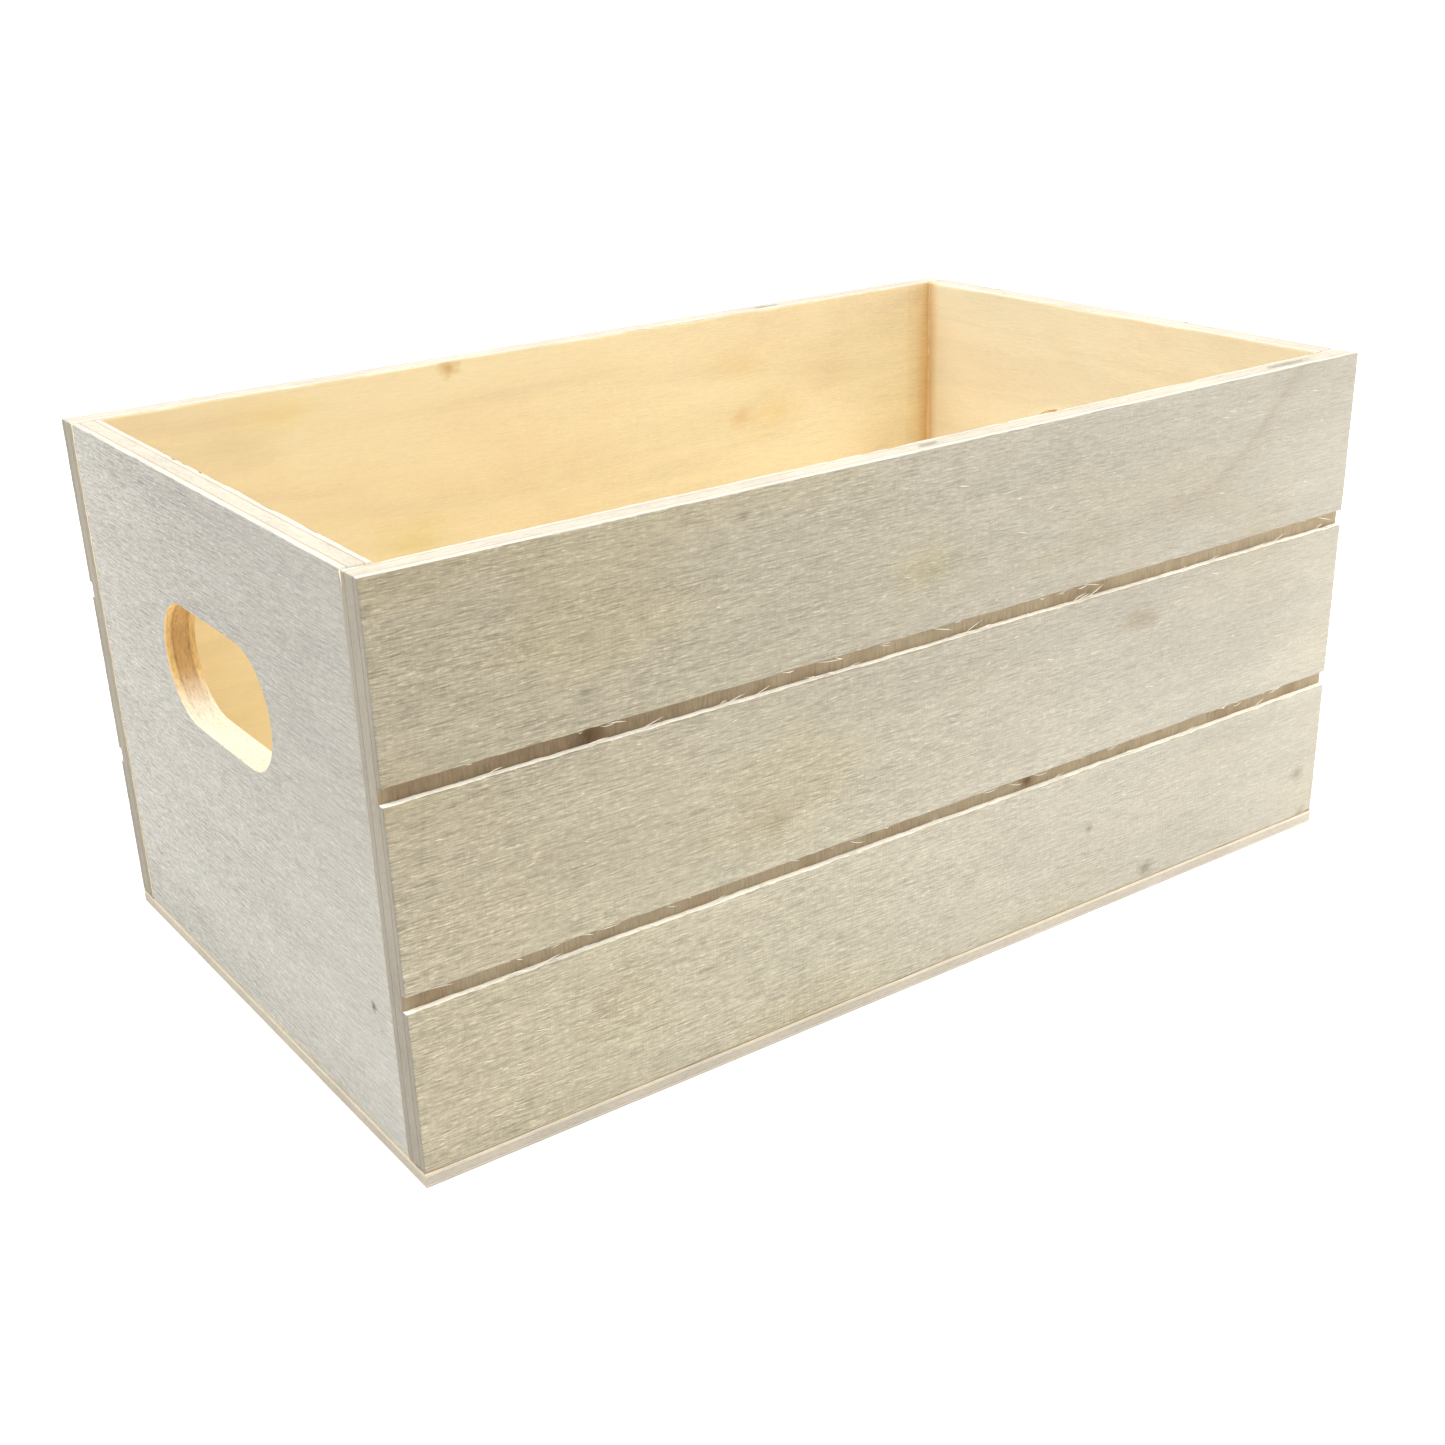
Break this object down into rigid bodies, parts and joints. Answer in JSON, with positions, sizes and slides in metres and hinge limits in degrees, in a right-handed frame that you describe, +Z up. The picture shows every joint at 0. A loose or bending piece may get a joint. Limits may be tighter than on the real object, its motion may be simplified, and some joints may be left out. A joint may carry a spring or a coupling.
{
  "type": "apple crate",
  "caption": "Small open plywood crate with grooved long sides that look like slats, a rounded handle slot in each end, and a thin base bradded on from below.",
  "frame": {"origin": "on the surface that the crate stands on, below its centre", "axes": "+X along the crate, from its left end to its right end; +Y from the front long panel to the back one; +Z up, out of the open top"},
  "size_m": [0.216, 0.127, 0.102],
  "materials": {
    "long_panel_plywood": "bare, rotary-cut face, fuzzy grain, not sealed",
    "end_panel_plywood": "bare, rotary-cut face, not sealed",
    "base_plywood": "bare, not sealed",
    "brad_steel": "bright drawn wire, slightly dulled"
  },
  "bodies": {
    "root": {"front_panel": "long_panel_plywood", "back_panel": "long_panel_plywood", "left_end_panel": "end_panel_plywood", "right_end_panel": "end_panel_plywood", "base_board": "base_plywood", "base_brad_front_1": "brad_steel", "base_brad_front_2": "brad_steel", "base_brad_front_3": "brad_steel", "base_brad_front_4": "brad_steel", "base_brad_back_1": "brad_steel", "base_brad_back_2": "brad_steel", "base_brad_back_3": "brad_steel", "base_brad_back_4": "brad_steel", "base_brad_left_1": "brad_steel", "base_brad_left_2": "brad_steel", "base_brad_right_1": "brad_steel", "base_brad_right_2": "brad_steel"}
  },
  "joints": []
}
